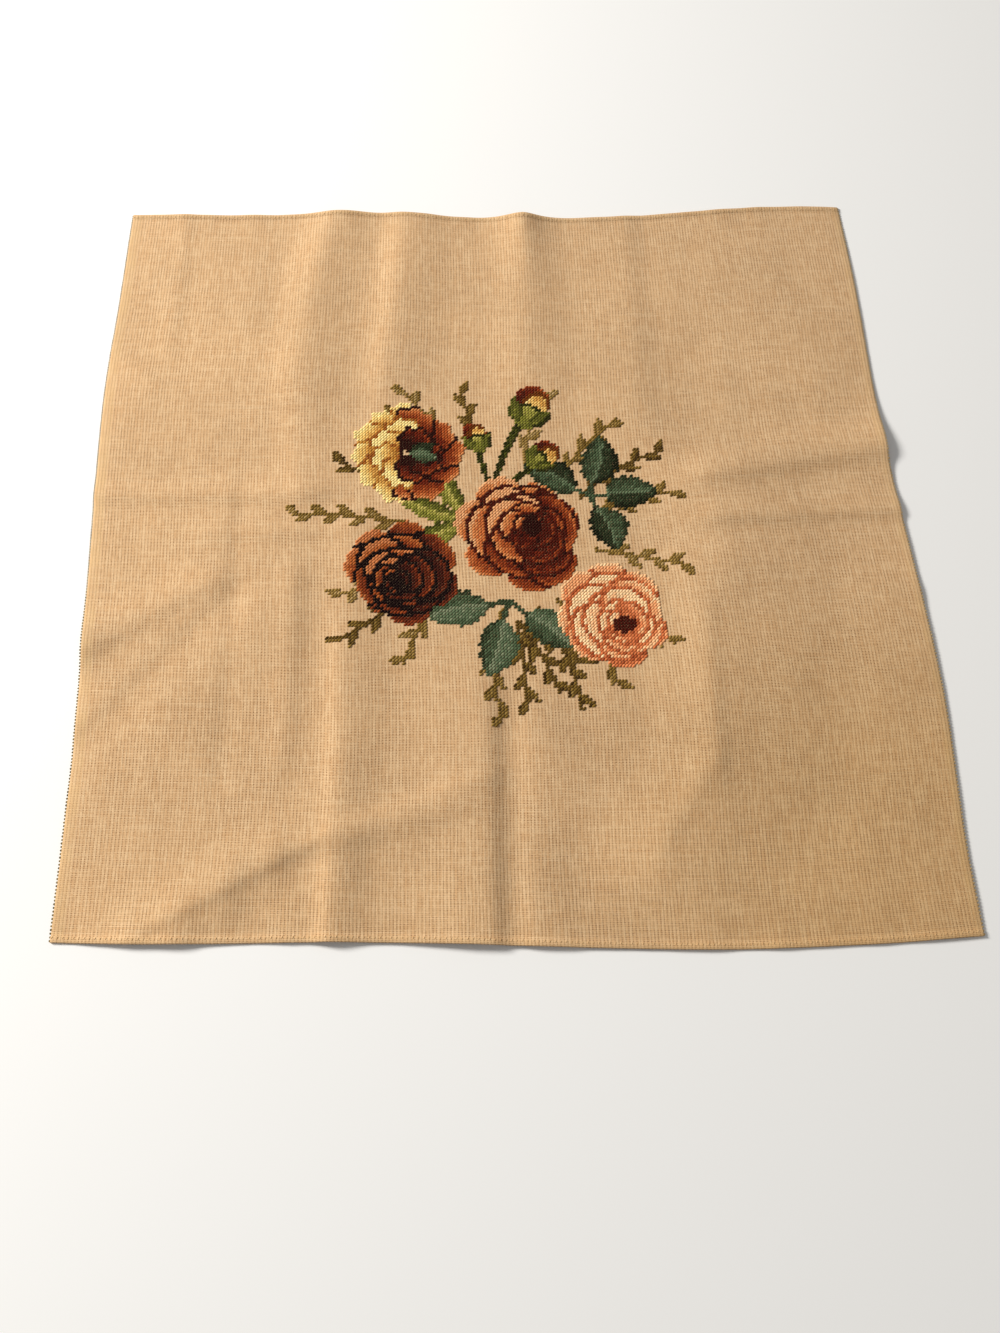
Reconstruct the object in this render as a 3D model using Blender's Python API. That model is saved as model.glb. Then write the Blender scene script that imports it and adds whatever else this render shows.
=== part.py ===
"""Needlepoint canvas panel: a square of stiffened double-thread canvas, lying face up.

The panel is one sheet with one solid. Woven selvages run up its left and right sides, and narrow
turned hems along its near and far sides. It lies flat on what it rests on, apart from the ridges,
swells and creases that folding and storage have left in it. The wool flowers and the weave have
no thickness of their own here.

Metres, +Z up. The near side faces -Y, and the origin is under the middle of the sheet's box.
"""

import math
from collections import namedtuple

import bmesh
import bpy

# Driving dimensions.
PANEL_SIDE = 0.686
SHEET_THICKNESS = 0.0012
HEM_WIDTH = 0.0045
HEM_EXTRA_THICKNESS = 0.0006
HEM_STEP = 0.0015
FOLD_RUN_OUT = 0.060

# The sheet is a grid: its columns run from near to far, its rows from left to right.
COLUMNS = 78
ROWS_BETWEEN_HEMS = 26

CANVAS_COLOR = (0.700, 0.450, 0.245, 1.0)
CANVAS_ROUGHNESS = 0.92

# How far each side strays outwards from a true square, at the places where it turns: shares of its
# length, from the near corner to the far one on the left and right, and from left to right on the
# near and far.
STRAY = {
    "left": ((0.00, -0.003), (0.20, -0.003), (0.68, 0.009), (0.84, 0.006), (1.00, 0.004)),
    "right": (
        (0.00, 0.004), (0.10, 0.003), (0.29, 0.007), (0.62, -0.005), (0.86, -0.006), (1.00, -0.009),
    ),
    "near": (
        (0.00, -0.004), (0.10, -0.001), (0.33, 0.001), (0.70, 0.012), (0.88, 0.011), (1.00, 0.007),
    ),
    "far": (
        (0.00, 0.001), (0.18, -0.002), (0.33, -0.002), (0.50, -0.009), (0.67, -0.011), (0.88, 0.000),
        (1.00, -0.001),
    ),
}

# A fold is walked from its near or left end. Its crest runs from start to end, bowed to the right
# by bow at mid-length, and falls to the flat over its left and right reach. Rise, left and right
# each hold the value at the start and at the end. Keenness is 0 for a round crest, 1 for a sharp one.
Fold = namedtuple("Fold", "start end bow rise left right keenness")
FOLDS = {
    "far_centre_ridge": Fold(
        (0.012, 0.085), (0.028, 0.350), 0.007, (0.0015, 0.0045), (0.040, 0.046), (0.045, 0.050), 0.4
    ),
    "far_centre_peak": Fold(
        (0.027, 0.300), (0.027, 0.350), 0.000, (0.0012, 0.0065), (0.030, 0.030), (0.024, 0.026), 0.2
    ),
    "far_left_ridge": Fold(
        (-0.172, 0.035), (-0.148, 0.350), -0.018, (0.0015, 0.0055), (0.028, 0.040), (0.050, 0.055), 0.2
    ),
    "far_inner_swell": Fold(
        (-0.106, 0.120), (-0.080, 0.350), 0.000, (0.0015, 0.0028), (0.016, 0.032), (0.060, 0.050), 0.2
    ),
    "far_right_swell": Fold(
        (0.128, 0.110), (0.122, 0.350), 0.000, (0.0015, 0.0020), (0.060, 0.070), (0.020, 0.022), 0.1
    ),
    "near_left_rib": Fold(
        (-0.137, -0.350), (-0.128, -0.020), 0.004, (0.0038, 0.0030), (0.018, 0.036), (0.034, 0.044), 0.6
    ),
    "near_centre_swell": Fold(
        (-0.019, -0.360), (-0.018, -0.165), 0.000, (0.0046, 0.0034), (0.075, 0.060), (0.021, 0.020), 0.1
    ),
    "near_centre_rib": Fold(
        (0.013, -0.360), (0.017, -0.170), 0.000, (0.0024, 0.0020), (0.014, 0.014), (0.060, 0.050), 0.3
    ),
    "near_inner_crease": Fold(
        (-0.110, -0.276), (-0.066, -0.257), 0.000, (0.0018, 0.0022), (0.030, 0.034), (0.013, 0.013), 0.3
    ),
    "right_swell": Fold(
        (0.112, -0.290), (0.165, 0.020), 0.036, (0.0040, 0.0040), (0.070, 0.070), (0.100, 0.130), 0.3
    ),
    "right_crease": Fold(
        (0.150, 0.028), (0.350, 0.074), -0.005, (0.0012, 0.0044), (0.040, 0.046), (0.014, 0.017), 0.3
    ),
    "near_left_crease": Fold(
        (-0.270, -0.352), (-0.172, -0.277), 0.000, (0.0042, 0.0034), (0.050, 0.040), (0.017, 0.014), 0.4
    ),
    "left_crease": Fold(
        (-0.350, -0.106), (-0.262, -0.066), 0.000, (0.0034, 0.0016), (0.045, 0.035), (0.014, 0.014), 0.4
    ),
    "left_swell": Fold(
        (-0.335, -0.235), (-0.205, -0.080), 0.000, (0.0020, 0.0025), (0.035, 0.030), (0.080, 0.060), 0.1
    ),
}


def clear_scene():
    for old in list(bpy.data.objects):
        bpy.data.objects.remove(old, do_unlink=True)


def mix(first, second, share):
    return first + (second - first) * share


def slope_at(points, number):
    """The slope of a smooth curve at one of its points, from its neighbours."""
    before, after = points[max(number - 1, 0)], points[min(number + 1, len(points) - 1)]
    return (after[1] - before[1]) / (after[0] - before[0])


def stray(side, share):
    """The side's stray at a share of its length, on a smooth curve through its points."""
    points = STRAY[side]
    number = max(k for k, (start, _) in enumerate(points[:-1]) if start <= max(share, 0.0))
    (start, here), (end, there) = points[number : number + 2]
    run = end - start
    t = min((share - start) / run, 1.0)
    return (
        here * (1 + 2 * t) * (1 - t) ** 2
        + slope_at(points, number) * run * t * (1 - t) ** 2
        + there * t * t * (3 - 2 * t)
        - slope_at(points, number + 1) * run * t * t * (1 - t)
    )


def plan(across, along):
    """Where a point of the sheet lies, from its shares of the way across and along it."""
    half = PANEL_SIDE / 2
    x = mix(-half - stray("left", along), half + stray("right", along), across)
    y = mix(-half - stray("near", across), half + stray("far", across), along)
    return x, y


def slope_shape(share, keenness):
    """Height share on a fold's flank, from 1 on its crest to 0 where it meets the flat."""
    if share >= 1.0:
        return 0.0
    rounded = 0.5 + 0.5 * math.cos(math.pi * share)
    sharp = (1.0 - share) ** 2
    return mix(rounded, sharp, keenness)


def fold_height(fold, x, y):
    run_x = fold.end[0] - fold.start[0]
    run_y = fold.end[1] - fold.start[1]
    length = math.hypot(run_x, run_y)
    from_x = x - fold.start[0]
    from_y = y - fold.start[1]
    along = (from_x * run_x + from_y * run_y) / length**2
    to_right = (from_x * run_y - from_y * run_x) / length
    walked = min(max(along, 0.0), 1.0)
    beyond = abs(along - walked) * length
    aside = to_right - fold.bow * 4 * walked * (1 - walked)
    reach = mix(*(fold.right if aside > 0 else fold.left), walked)
    height = mix(*fold.rise, walked) * slope_shape(abs(aside) / reach, fold.keenness)
    return height * slope_shape(beyond / FOLD_RUN_OUT, 0.0)


def lift(x, y):
    """How far the underside stands off the flat."""
    return sum(fold_height(fold, x, y) for fold in FOLDS.values())


def row_places():
    """Shares of the way from the near side to the far one, with the hems' own rows."""
    hem = HEM_WIDTH / PANEL_SIDE
    inside = (HEM_WIDTH + HEM_STEP) / PANEL_SIDE
    between = [mix(inside, 1 - inside, k / ROWS_BETWEEN_HEMS) for k in range(ROWS_BETWEEN_HEMS + 1)]
    return [0.0, hem] + between + [1 - hem, 1.0]


def thickness(along):
    in_hem = min(along, 1 - along) * PANEL_SIDE < HEM_WIDTH + HEM_STEP / 2
    return SHEET_THICKNESS + (HEM_EXTRA_THICKNESS if in_hem else 0.0)


def canvas_sheet():
    """The closed sheet: an underside on the folds, drawn straight up into a top side and a rim."""
    mesh = bmesh.new()
    rows = []
    for along in row_places():
        row = []
        for column in range(COLUMNS + 1):
            x, y = plan(column / COLUMNS, along)
            row.append((mesh.verts.new((x, y, lift(x, y))), thickness(along)))
        rows.append(row)
    for row, next_row in zip(rows, rows[1:]):
        for k in range(COLUMNS):
            corners = (row[k], next_row[k], next_row[k + 1], row[k + 1])
            mesh.faces.new([corner for corner, _ in corners])
    top_of = {}
    for row in rows:
        for under, thick in row:
            top_of[under] = mesh.verts.new((under.co.x, under.co.y, under.co.z + thick))
    for face in list(mesh.faces):
        mesh.faces.new([top_of[corner] for corner in reversed(face.verts)])
    for edge in [edge for edge in mesh.edges if edge.is_boundary and edge.verts[0] in top_of]:
        first, second = edge.verts
        if second in top_of:
            mesh.faces.new((first, second, top_of[second], top_of[first]))
    bmesh.ops.recalc_face_normals(mesh, faces=mesh.faces[:])
    return mesh


def centred(mesh):
    """Moves the sheet so that the origin is under the middle of its box."""
    for axis in (0, 1):
        places = [point.co[axis] for point in mesh.verts]
        middle = (min(places) + max(places)) / 2
        for point in mesh.verts:
            point.co[axis] -= middle
    return mesh


def canvas_material():
    material = bpy.data.materials.new("cotton_canvas")
    material.use_nodes = True
    surface = material.node_tree.nodes["Principled BSDF"]
    surface.inputs["Base Color"].default_value = CANVAS_COLOR
    surface.inputs["Roughness"].default_value = CANVAS_ROUGHNESS
    surface.inputs["Metallic"].default_value = 0.0
    return material


def build_canvas_panel():
    sheet = centred(canvas_sheet())
    data = bpy.data.meshes.new("canvas_panel")
    sheet.to_mesh(data)
    sheet.free()
    data.materials.append(canvas_material())
    data.shade_smooth()
    panel = bpy.data.objects.new("canvas_panel", data)
    bpy.context.scene.collection.objects.link(panel)
    return panel


clear_scene()
build_canvas_panel()
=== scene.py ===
"""Looks of the needlepoint canvas panel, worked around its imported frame.

The cloth is one closed sheet that takes its outline and folds from the frame's canvas_panel node.
Its weave is a material that follows the threads. The bouquet is charted mesh by mesh, and each
charted mesh gets one raised wool stitch. Metres, +Z up, the near side facing -Y.
"""

import math
from collections import namedtuple

import bpy
import numpy as np
from mathutils import Matrix, Vector
from mathutils.bvhtree import BVHTree


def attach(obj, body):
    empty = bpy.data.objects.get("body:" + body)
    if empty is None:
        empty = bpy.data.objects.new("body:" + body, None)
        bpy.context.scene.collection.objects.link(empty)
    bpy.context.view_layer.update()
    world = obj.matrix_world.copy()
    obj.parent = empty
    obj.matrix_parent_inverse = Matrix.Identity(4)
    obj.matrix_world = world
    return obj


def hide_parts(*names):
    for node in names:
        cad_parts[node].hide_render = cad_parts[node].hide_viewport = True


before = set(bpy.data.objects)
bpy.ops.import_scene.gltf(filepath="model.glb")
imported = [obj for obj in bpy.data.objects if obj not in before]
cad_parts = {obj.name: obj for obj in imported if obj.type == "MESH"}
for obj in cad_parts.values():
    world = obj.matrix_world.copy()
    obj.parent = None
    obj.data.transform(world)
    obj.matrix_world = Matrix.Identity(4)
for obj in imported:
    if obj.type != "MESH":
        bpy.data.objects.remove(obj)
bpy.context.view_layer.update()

# ---------------------------------------------------------------------------------------------
# Sizes, in metres unless a line says otherwise.

FLAT_SIDE = 0.686
MESHES = 257
MESH = FLAT_SIDE / MESHES
CLOTH_THICKNESS = 0.0012
HEM_WIDTH = 0.0045
HEM_EXTRA_THICKNESS = 0.0006
EDGE_ROUNDING = 0.0007
SHEET_CELLS = 208

# The cloth's lie is read from the frame on a square grid of samples, then smoothed by this many
# samples across and along.
LIE_SAMPLES = 172
LIE_SMOOTHING = (0.8, 2.6)
COCKLE_HEIGHT = 0.0015
COCKLE_SMOOTHING = (2.0, 6.0)

# Where the bouquet's middle falls, in meshes right of and beyond the panel's middle.
BOUQUET_PLACE = (1, 3)


# ---------------------------------------------------------------------------------------------
# Small helpers.


def srgb(red, green, blue):
    """A display colour of 0 to 255, as linear RGBA."""
    share = np.array((red, green, blue)) / 255
    linear = np.where(share <= 0.04045, share / 12.92, ((share + 0.055) / 1.055) ** 2.4)
    return (*(float(value) for value in linear), 1.0)


def blurred(field, reach, axis):
    """The field smoothed along one axis by a bell that reaches that many samples."""
    half = int(3 * reach) + 1
    bell = np.exp(-0.5 * (np.arange(-half, half + 1) / reach) ** 2)
    padding = [(half, half) if k == axis else (0, 0) for k in range(field.ndim)]
    wide = np.pad(field, padding, mode="edge")
    return np.apply_along_axis(np.convolve, axis, wide, bell / bell.sum(), "valid")


def unit(vectors):
    return vectors / np.linalg.norm(vectors, axis=-1, keepdims=True)


class Nodes:
    """Adds nodes to a tree and links them, so that a tree reads as a list of steps."""

    def __init__(self, tree):
        self.tree = tree

    def add(self, kind, inputs=None, **settings):
        node = self.tree.nodes.new(kind)
        for name, value in settings.items():
            setattr(node, name, value)
        for socket, value in (inputs or {}).items():
            self.feed(node.inputs[socket], value)
        return node

    def feed(self, socket, value):
        if isinstance(value, bpy.types.NodeSocket):
            self.tree.links.new(value, socket)
        else:
            socket.default_value = value

    def math(self, operation, *values, clamp=False):
        node = self.add("ShaderNodeMath", operation=operation, use_clamp=clamp)
        for socket, value in zip(node.inputs, values):
            self.feed(socket, value)
        return node.outputs[0]

    def ramp(self, value, low, high, to_low=0.0, to_high=1.0):
        """A value carried smoothly from low..high to to_low..to_high."""
        names = ("Value", "From Min", "From Max", "To Min", "To Max")
        inputs = dict(zip(names, (value, low, high, to_low, to_high)))
        return self.add("ShaderNodeMapRange", inputs, interpolation_type="SMOOTHSTEP").outputs[0]

    def mix(self, share, first, second, blend="MIX"):
        node = self.add("ShaderNodeMix", data_type="RGBA", blend_type=blend)
        for name, value in (("Factor_Float", share), ("A_Color", first), ("B_Color", second)):
            socket = next(one for one in node.inputs if one.identifier == name)
            self.feed(socket, value)
        return next(one for one in node.outputs if one.identifier == "Result_Color")

    def group(self, tree, **inputs):
        node = self.add("ShaderNodeGroup")
        node.node_tree = tree
        for name, value in inputs.items():
            self.feed(node.inputs[name], value)
        return node.outputs

    def noise(self, vector, scale, detail=2.0):
        inputs = {"Vector": vector, "Scale": scale, "Detail": detail}
        return self.add("ShaderNodeTexNoise", inputs).outputs["Fac"]

    def vector(self, x, y, z=0.0):
        return self.add("ShaderNodeCombineXYZ", {"X": x, "Y": y, "Z": z}).outputs[0]


# ---------------------------------------------------------------------------------------------
# The design: a bouquet worked out mesh by mesh, as on squared paper. The unit is one mesh of the
# canvas, and (0, 0) is the mesh at the panel's middle. Bearings are in degrees, anticlockwise from
# the right. Flowers, fans of leaves and sprays are each composed by rule about a foot or middle.

CHART_REACH = 68

# Each family of wools runs from its darkest shade to its lightest, as display RGB.
WOOLS = {
    "brick": (
        (46, 16, 12), (78, 24, 14), (108, 36, 18), (140, 58, 26),
        (172, 84, 40), (198, 110, 58), (214, 136, 80), (230, 168, 116),
    ),
    "damson": (
        (28, 14, 14), (46, 18, 16), (68, 26, 18), (98, 38, 20),
        (128, 54, 26), (156, 74, 34), (180, 98, 48), (202, 124, 74),
    ),
    "peach": (
        (74, 24, 14), (130, 50, 26), (172, 84, 46), (212, 118, 70),
        (234, 142, 90), (244, 172, 118), (250, 196, 144), (254, 216, 166),
    ),
    "straw": (
        (112, 56, 18), (160, 92, 34), (196, 136, 58), (218, 162, 80),
        (236, 192, 108), (246, 212, 130), (252, 228, 154),
    ),
    "teal": (
        (28, 32, 18), (44, 52, 32), (60, 72, 48), (78, 94, 66),
        (98, 114, 84), (124, 134, 104), (150, 158, 126),
    ),
    "lime": (
        (46, 48, 16), (72, 74, 24), (98, 98, 36), (126, 124, 48),
        (156, 150, 66), (188, 176, 90),
    ),
    "bark": (
        (70, 50, 18), (102, 77, 32), (128, 100, 44), (150, 120, 62), (174, 144, 90), (196, 164, 114),
    ),
}
YARNS = [shade for family in WOOLS.values() for shade in family]
FIRST_YARN = dict(zip(WOOLS, np.cumsum([0] + [len(family) for family in WOOLS.values()])))


class Chart:
    """The squared paper: which yarn fills each mesh, and which motif that stitch belongs to."""

    def __init__(self):
        places = np.arange(-CHART_REACH, CHART_REACH + 1)
        self.x, self.y = np.meshgrid(places, places, indexing="ij")
        self.yarn = np.full(self.x.shape, -1)
        self.motif = np.full(self.x.shape, "", dtype="U24")
        self.grain = np.random.default_rng(11).random(self.x.shape) - 0.5

    def work(self, motif, where, family, tone, mottle=0.10):
        """Fills meshes with the family's shade for each tone, 0 for its darkest and 1 for its lightest."""
        shades = len(WOOLS[family])
        tone = np.broadcast_to(tone, self.x.shape) + mottle * self.grain
        shade = np.clip((tone * shades).astype(int), 0, shades - 1)
        self.yarn[where] = (FIRST_YARN[family] + shade)[where]
        self.motif[where] = motif

    def from_line(self, start, end, bow=0.0):
        """Share of the way along the line and distance to its left, for every mesh."""
        run = np.subtract(end, start)
        length = np.hypot(*run)
        ahead, side = run / length, np.array([-run[1], run[0]]) / length
        across = self.x - start[0], self.y - start[1]
        share = (across[0] * ahead[0] + across[1] * ahead[1]) / length
        aside = across[0] * side[0] + across[1] * side[1]
        inside = np.clip(share, 0, 1)
        return share, aside - bow * 4 * inside * (1 - inside), length

    def worked(self, motif):
        return self.motif == motif


def stroke(chart, motif, family, start, end, bow=0.0, wide=(1.6, 1.0), tones=(0.3, 0.3)):
    """A stem or blade: a bowed line that tapers from its start to its end."""
    share, aside, length = chart.from_line(start, end, bow)
    width = wide[0] + (wide[1] - wide[0]) * share
    where = (share > -0.5 / length) & (share < 1 + 0.5 / length) & (np.abs(aside) <= width / 2)
    chart.work(motif, where, family, tones[0] + (tones[1] - tones[0]) * np.clip(share, 0, 1))


def leaf(chart, motif, family, base, tip, wide, bow=0.0, teeth=0, tones=(0.2, 0.5, 0.8), vein=True):
    """A pointed leaf: its right half, left half and midrib each have a tone."""
    share, aside, length = chart.from_line(base, tip, bow)
    inside = np.clip(share, 0, 1)
    half = wide / 2 * np.sin(np.pi * inside**0.8) ** 0.75
    if teeth:
        half = half * (1.06 - 0.22 * ((inside * teeth) % 1.0))
    where = (share >= 0) & (share <= 1) & (np.abs(aside) <= half + 0.25)
    edge = np.abs(aside) / np.maximum(half, 0.5)
    tone = np.where(aside < 0, tones[0], tones[1]) + 0.12 * (1 - edge) - 0.10 * (edge > 0.8)
    ribs = ((inside * 6 - np.abs(aside) / wide * 2.2) % 1.0 < 0.22) & (edge < 0.8) & (edge > 0.15)
    tone = np.where(ribs & vein, tone + 0.12, tone)
    tone = np.where((np.abs(aside) < 0.55) & (inside < 0.88) & vein, tones[2], tone)
    chart.work(motif, where, family, tone)


def petal(chart, motif, family, at, toward, size, tones, lip=0.16, waves=0, outline=0.0):
    """An oval petal, long by broad, shaded from its foot to its rolled lip, with a dark line behind it."""
    turn = math.radians(toward)
    right, up = chart.x - at[0], chart.y - at[1]
    ahead = (right * math.cos(turn) + up * math.sin(turn)) / size[0]
    aside = (up * math.cos(turn) - right * math.sin(turn)) / size[1]
    ruffle = 1 + 0.09 * np.cos(waves * np.arctan2(aside, ahead)) * (waves > 0)
    radius = np.hypot(ahead, aside) / ruffle
    behind = (radius <= 1 + 1.1 / min(size)) & chart.worked(motif) & (radius > 1)
    chart.work(motif, behind, family, outline)
    rise = np.clip(0.5 + 0.62 * ahead - 0.16 * aside, 0, 1) ** 1.1
    tone = tones[0] + (tones[1] - tones[0]) * rise
    tone = np.where((radius > 1 - lip) & (ahead > 0.1), tone + 0.12, tone)
    chart.work(motif, radius <= 1, family, tone)


# Petals are lighter on the side that this bearing points to.
LIGHT_FROM = 135


def outward(at, bearing, length):
    """The place that lies a length away on a bearing."""
    turn = math.radians(bearing)
    return at[0] + length * math.cos(turn), at[1] + length * math.sin(turn)


def lit(bearing):
    """How much light a petal on this bearing catches, from 0 to 1."""
    return 0.5 + 0.5 * math.cos(math.radians(bearing - LIGHT_FROM))


def spaced(bearings, count, chance, stray):
    """Bearings at equal steps from the first to the last, each a little astray."""
    return [bearing + chance.uniform(-stray, stray) for bearing in np.linspace(*bearings, count)]


# A full-blown rose: rings of petals from the outermost inwards, each drawn over the one before and
# set a little nearer its heart. Shares of the rose's reach say how far out the petals' middles are
# and how long they are, and shade is how much darker their lips are.
Ring = namedtuple("Ring", "count out long shade")
ROSE_RINGS = (
    Ring(7, 0.72, 0.31, 0.00),
    Ring(6, 0.45, 0.38, 0.06),
    Ring(5, 0.31, 0.30, 0.02),
    Ring(4, 0.19, 0.22, 0.14),
    Ring(3, 0.10, 0.14, 0.24),
)
PETAL_STRAY = 13
PETAL_LENGTHS = (0.86, 1.14)
PETAL_BREADTHS = (1.05, 1.35)
PETAL_TONE_STRAY = 0.10
HEART_OFF_CENTRE = 0.26
HEART_SIZE = (0.13, 0.09)
HEART_TONE = 0.03

# A rose leans its heart towards a bearing. Its petals' lips lie between two tones by the light, and
# foot is the share of its lip's tone that a petal has at its foot. The outermost petals are darker
# by rim.
Rose = namedtuple("Rose", "family at reach first lean foot tones outline rim")
ROSES = {
    "damson_rose": Rose("damson", (-32, -18), 17, 40, -120, 0.34, (0.38, 0.95), 0.05, 0.00),
    "peach_rose": Rose("peach", (32, -31), 17, 65, -50, 0.66, (0.70, 1.04), 0.40, 0.24),
    "brick_rose": Rose("brick", (5, -3), 20, 15, 30, 0.34, (0.34, 0.98), 0.15, 0.00),
}


def rose(chart, name, kind, chance):
    for ring in ROSE_RINGS:
        inward = 1 - ring.out / ROSE_RINGS[0].out
        middle = outward(kind.at, kind.lean, kind.reach * HEART_OFF_CENTRE * inward)
        first = kind.first + chance.uniform(0, 360 / ring.count)
        last = first + 360 * (1 - 1 / ring.count)
        for bearing in spaced((first, last), ring.count, chance, PETAL_STRAY):
            long = kind.reach * ring.long * chance.uniform(*PETAL_LENGTHS)
            broad = long * chance.uniform(*PETAL_BREADTHS)
            lip = kind.tones[0] + (kind.tones[1] - kind.tones[0]) * lit(bearing)
            lip = lip - ring.shade - kind.rim * (ring is ROSE_RINGS[0])
            lip = lip + chance.uniform(-PETAL_TONE_STRAY, PETAL_TONE_STRAY)
            at = outward(middle, bearing, kind.reach * ring.out)
            tones = lip * kind.foot, lip
            petal(chart, name, kind.family, at, bearing, (long, broad), tones, outline=kind.outline)
    heart = outward(kind.at, kind.lean, kind.reach * HEART_OFF_CENTRE)
    size = [kind.reach * share for share in HEART_SIZE]
    petal(chart, name, kind.family, heart, kind.lean + 60, size, (HEART_TONE, HEART_TONE), lip=0)


# The carnation's ruffled petals fan out from its cup, in rings from the outermost inwards.
Ruffle = namedtuple("Ruffle", "family bearings count out size tones")
CARNATION_CUP = (-28, 25)
RUFFLE_STRAY = 7
RUFFLE_SIZES = (0.90, 1.10)
RUFFLE_WAVES = 7
RUFFLE_OUTLINES = {"straw": 0.28, "brick": 0.0}
RUFFLES = (
    Ruffle("straw", (94, 250), 6, 13.5, 5.8, (0.00, 0.90)),
    Ruffle("brick", (-96, 78), 6, 11.5, 5.8, (0.05, 0.66)),
    Ruffle("straw", (112, 248), 4, 7.5, 5.6, (0.22, 1.00)),
    Ruffle("brick", (-84, 60), 4, 5.0, 4.6, (0.00, 0.34)),
)

# The cup's two blades: their bearings, and the tones of their halves and midribs.
CUP_BLADES = ((28, (0.10, 0.16, 0.12)), (-8, (0.40, 0.58, 0.55)))
CUP_BLADE_SIZE = (9, 4.6)


def carnation(chart, chance):
    """A ruffled flower, straw-coloured to the left of a split cup and brick red to its right."""
    name = "carnation"
    for ruffle in RUFFLES:
        looks = {"waves": RUFFLE_WAVES, "outline": RUFFLE_OUTLINES[ruffle.family]}
        for bearing in spaced(ruffle.bearings, ruffle.count, chance, RUFFLE_STRAY):
            size = ruffle.size * chance.uniform(*RUFFLE_SIZES)
            at = outward(CARNATION_CUP, bearing, ruffle.out)
            petal(chart, name, ruffle.family, at, bearing, (size, size), ruffle.tones, **looks)
    for bearing, tones in CUP_BLADES:
        tip = outward(CARNATION_CUP, bearing, CUP_BLADE_SIZE[0])
        leaf(chart, name, "teal", CARNATION_CUP, tip, CUP_BLADE_SIZE[1], tones=tones, vein=False)


# The buds stand on stalks that fan out from behind the brick rose.
Bud = namedtuple("Bud", "bearing away bow size")
BUD_REACH = 7.2
STALKS_FROM = (-2, 12)
BUDS = (Bud(102, 20, 0.8, 0.66), Bud(66, 34, 1.6, 1.00), Bud(38, 21, -1.0, 0.74))


def bud(chart, kind):
    """A half-open bud: a red back petal, a straw-coloured front, a lime cup and a dark stalk.

    Its parts are placed ahead of and to the left of its middle, in meshes on a bud of full size.
    """
    name = "buds"
    at = outward(STALKS_FROM, kind.bearing, kind.away)
    reach = kind.size * BUD_REACH

    def out(ahead, aside):
        along = outward(at, kind.bearing, ahead * kind.size)
        return outward(along, kind.bearing + 90, aside * kind.size)

    stroke(chart, name, "lime", STALKS_FROM, at, kind.bow, (1.6, 3.4 * kind.size), (0.10, 0.22))
    petal(chart, name, "brick", out(2.4, 0.6), kind.bearing, (reach, reach * 0.86), (0.10, 0.36))
    petal(chart, name, "straw", out(1.6, -1.4), kind.bearing, (reach * 0.72, reach * 0.52), (0.95, 0.45))
    petal(chart, name, "lime", out(-3.4, 0), kind.bearing + 180, (reach * 0.62, reach * 0.60), (0.80, 0.45))
    for side in (-1, 1):
        tip = out(2.5, 6.6 * side)
        tones = (0.20 + 0.14 * side, 0.34, 0.48)
        leaf(chart, name, "lime", out(-6, 2.4 * side), tip, 3.2 * kind.size + 1, tones=tones)


# Leaflets stand in fans about one foot, on stalks. Tones are for one half, the other and the midrib.
Fan = namedtuple("Fan", "family foot bearings count stalk long wide teeth tones")
LEAF_STRAY = 6
LEAF_LENGTHS = (0.88, 1.08)
LEAF_BOW = 1.6
FANS = {
    "teal_leaves": (
        Fan("teal", (29, 11), (-72, 150), 4, 5, 17, 12, 6, (0.16, 0.36, 0.62)),
        Fan("teal", (0, -27), (-168, -42), 3, 7, 18, 12, 6, (0.38, 0.56, 0.80)),
    ),
    "lime_leaves": (Fan("lime", (-11, 1), (112, 206), 3, 3, 20, 7, 4, (0.40, 0.62, 0.86)),),
}


def fan(chart, name, kind, chance):
    for bearing in spaced(kind.bearings, kind.count, chance, LEAF_STRAY):
        base = outward(kind.foot, bearing, kind.stalk)
        tip = outward(base, bearing, kind.long * chance.uniform(*LEAF_LENGTHS))
        bow = chance.uniform(-LEAF_BOW, LEAF_BOW)
        stroke(chart, name, kind.family, kind.foot, base, wide=(1.5, 1.5), tones=(0.4, 0.4))
        leaf(chart, name, kind.family, base, tip, kind.wide, bow, kind.teeth, kind.tones)


# Leafy stems trail below the bouquet.
STEMS_FROM = (2, -34)
STEM_BEARINGS = (-86, -36)
STEM_COUNT = 3
STEM_STRAY = 4
STEM_LENGTHS = (22, 28)
STEM_BOW = 2
STEM_TONE = 0.25

# Sprays stand out all round the bouquet's rim, with leaflets on both sides of their stems in turn.
RIM_MIDDLE = (0, -3)
RIM_REACH = (30, 27)
SPRAY_BEARINGS = (12, 344)
SPRAY_COUNT = 17
SPRAY_STRAY = 7
SPRAY_LENGTHS = (27, 36)
SPRAY_BOW = 3
SPRAY_TONES = (0.2, 0.6)
LEAFLET_STEP = 4.4
LEAFLET_SIZE = (7.0, 2.2)
LEAFLET_SPREAD = 36


def spray(chart, motif, base, bearing, long, bow, tone):
    """A bowed stem, with slim leaflets that get shorter towards its tip."""
    stroke(chart, motif, "bark", base, outward(base, bearing, long), bow, (1.5, 1.1), (tone, tone))
    for k in range(1, int(long / LEAFLET_STEP) + 1):
        share = k * LEAFLET_STEP / long
        foot = outward(outward(base, bearing, long * share), bearing + 90, bow * 4 * share * (1 - share))
        aim = bearing + LEAFLET_SPREAD * (1 if k % 2 else -1)
        tip = outward(foot, aim, LEAFLET_SIZE[0] * (1 - 0.25 * share))
        tones = tone, tone + 0.10, tone
        leaf(chart, motif, "bark", foot, tip, LEAFLET_SIZE[1], tones=tones, vein=False)


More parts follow.
